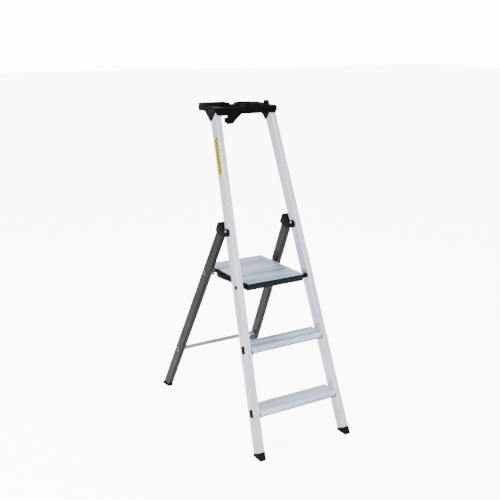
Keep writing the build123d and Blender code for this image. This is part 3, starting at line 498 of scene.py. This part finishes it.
# spots are (place, turn, size) in the row frame
def detailPiece(name, kind, spots, slot, body, **values):
    mesh = bpy.data.meshes.new(name)
    mesh.from_pydata([spot[0] for spot in spots], [], [])
    for index, label in ((1, "turn"), (2, "size")):
        layer = mesh.attributes.new(label, "FLOAT_VECTOR", "POINT")
        for point, spot in zip(layer.data, spots):
            point.vector = spot[index]
    piece = newPiece(name, mesh, slot)
    tree = detailNodes[kind]
    modifier = piece.modifiers.new("detail", "NODES")
    modifier.node_group = tree
    values["Material"] = materials[slot]
    for socket in tree.interface.items_tree:
        if socket.in_out == "INPUT" and socket.name in values:
            modifier[socket.identifier] = values[socket.name]
    finishMesh(piece, detailCrease)
    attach(piece, body)
    return piece


# Middle of each solid's two ends along X, as (low end, high end) pairs
def islandEnds(name):
    shape = bmesh.new()
    mesh = nodeMesh(name)
    shape.from_mesh(mesh)
    left, ends = set(shape.verts), []
    while left:
        heap, island = [left.pop()], []
        while heap:
            vert = heap.pop()
            island.append(vert.co.copy())
            for edge in vert.link_edges:
                other = edge.other_vert(vert)
                if other in left:
                    left.discard(other)
                    heap.append(other)
        low = [min(co[axis] for co in island) for axis in range(3)]
        high = [max(co[axis] for co in island) for axis in range(3)]
        middle = [(low[axis] + high[axis]) / 2 for axis in range(3)]
        ends.append(((low[0], middle[1], middle[2]), (high[0], middle[1], middle[2])))
    shape.free()
    return ends


headPieces = {
    "tray_screw_heads": {"node": "tray_screws", "radius": 0.0041, "dome": 0.32, "slot": 0.26, "both": False},
    "platform_screw_heads": {"node": "platform_screws", "radius": 0.0045, "dome": 0.32, "slot": 0.26,
                             "both": False},
    "fork_rivet_heads": {"node": "fork_rivets", "radius": 0.0049, "dome": 0.34, "slot": 0.0, "both": True},
    "hinge_pin_heads": {"node": "hinge_pins", "radius": 0.0049, "dome": 0.3, "slot": 0.0, "both": True},
}
for name, head in headPieces.items():
    spots = []
    for low, high in islandEnds(head["node"]):
        if head["both"] or low[0] < -abs(high[0]):
            spots.append((low, (0, -pi / 2, 0), (head["radius"],) * 3))
        if head["both"] or high[0] > abs(low[0]):
            spots.append((high, (0, pi / 2, 0), (head["radius"],) * 3))
    detailPiece(name, "heads", spots, slotOf[head["node"]], bodyOf[head["node"]],
                Dome=head["dome"], Slot=head["slot"], Sides=32)
print("screw, rivet and pin heads made")

trayLow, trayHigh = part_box("tool_tray")
trayRibs = {"floor": 1.386, "sunk": 0.0002, "first": 0.0035, "pitch": 0.0042, "count": 4, "thick": 0.0016,
            "margin": 0.012}
ribSpots = []
for side in (-1, 1):
    sideX = side * (trayHigh.x - trayRibs["sunk"])
    for index in range(trayRibs["count"]):
        height = trayRibs["floor"] + trayRibs["first"] + index * trayRibs["pitch"]
        ribSpots.append(((sideX, (trayLow.y + trayHigh.y) / 2, height), (pi / 2, 0, 0),
                         (trayRibs["thick"], trayRibs["thick"],
                          trayHigh.y - trayLow.y - 2 * trayRibs["margin"])))
detailPiece("tray_side_ribs", "rods", ribSpots, "black_plastic", bodyOf["tool_tray"], Sides=16)
print("tray ribs made")

labelBars = {"lift": 0.00027, "thick": 0.0002, "marks": [
    # along the stile, across it, length along, width across, turn in degrees
    (0.0155 * (index - 4.5), 0, 0.0082, 0.027, 35) for index in range(10)]}
labelLow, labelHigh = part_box("stile_label")
labelOut = Vector((-cos(toe), sin(toe) * sin(lean), sin(toe) * cos(lean)))
labelAcross = Vector((0, cos(lean), -sin(lean)))
labelUp = labelOut.cross(labelAcross)
labelMiddle = (labelLow + labelHigh) / 2
labelTurn = Matrix((labelAcross, labelUp, labelOut)).transposed()
barSpots = []
for up, side, length, width, turn in labelBars["marks"]:
    place = labelMiddle + labelUp * up + labelAcross * side + labelOut * labelBars["lift"]
    turned = labelTurn @ Matrix.Rotation(radians(turn), 3, "Z")
    barSpots.append((place, turned.to_euler(), (width, length, labelBars["thick"])))
detailPiece("label_marks", "bars", barSpots, "label_ink", bodyOf["stile_label"])
print("label marks made")

# camera, light and floor

cameraSpot = {"place": (-1.8436, -2.9486, 1.7302), "turn": -31.836, "tilt": 15.418, "roll": 0.4,
              "lens": 57.55}


def makeCamera(spot):
    turn, tilt, roll = (radians(spot[k]) for k in ("turn", "tilt", "roll"))
    back = Vector((sin(turn) * cos(tilt), -cos(turn) * cos(tilt), sin(tilt)))
    level = (-back).cross(Vector((0, 0, 1))).normalized()
    upright = level.cross(-back)
    right = cos(roll) * level + sin(roll) * upright
    up = cos(roll) * upright - sin(roll) * level
    data = bpy.data.cameras.new("camera")
    data.lens, data.sensor_width = spot["lens"], 36
    camera = bpy.data.objects.new("camera", data)
    camera.matrix_world = Matrix((right, up, back)).transposed().to_4x4()
    camera.location = spot["place"]
    bpy.context.scene.collection.objects.link(camera)
    bpy.context.scene.camera = camera


def areaLight(name, place, target, size, power):
    data = bpy.data.lights.new(name, "AREA")
    data.shape = "RECTANGLE"
    data.size, data.size_y, data.energy = size[0], size[1], power
    light = bpy.data.objects.new(name, data)
    light.location = place
    light.rotation_euler = (Vector(target) - Vector(place)).to_track_quat("-Z", "Y").to_euler()
    bpy.context.scene.collection.objects.link(light)


studio = {
    "fill": 1.15, "backdrop": 14.0, "paperGlow": 9.0,
    "lights": (("key", (-3.4, -0.4, 2.4), (2.6, 2.6), 150), ("front", (0.6, -4.0, 2.2), (2.2, 2.2), 60),
               ("top", (0.4, 0.6, 3.8), (2.4, 2.4), 80)),
}
makeCamera(cameraSpot)
world = bpy.data.worlds.new("studio")
bpy.context.scene.world = world
world.use_nodes = True
background = world.node_tree.nodes["Background"]
background.inputs["Color"].default_value = (1, 1, 1, 1)
rays = world.node_tree.nodes.new("ShaderNodeLightPath")
brightness = rangeNode(world.node_tree, rays.outputs["Is Camera Ray"], 0, 1, studio["fill"],
                       studio["backdrop"])
world.node_tree.links.new(brightness, background.inputs["Strength"])
for name, place, size, power in studio["lights"]:
    areaLight(name, place, (0, 0, 0.7), size, power)

bpy.ops.mesh.primitive_plane_add(size=60)
floor = bpy.context.object
floor.name = "floor"
floorMaterial, floorTree, floorShader = newMaterial("floorPaper", 0.0, 0.7)
floorShader.inputs["Base Color"].default_value = (0.92, 0.92, 0.93, 1)
floorShader.inputs["Specular IOR Level"].default_value = 0.2
floorShader.inputs["Emission Color"].default_value = (1, 1, 1, 1)
floorRays = floorTree.nodes.new("ShaderNodeLightPath")
glow = rangeNode(floorTree, floorRays.outputs["Is Camera Ray"], 0, 1, 0, studio["paperGlow"])
floorTree.links.new(glow, floorShader.inputs["Emission Strength"])
floor.data.materials.append(floorMaterial)
print("camera, light and floor made")
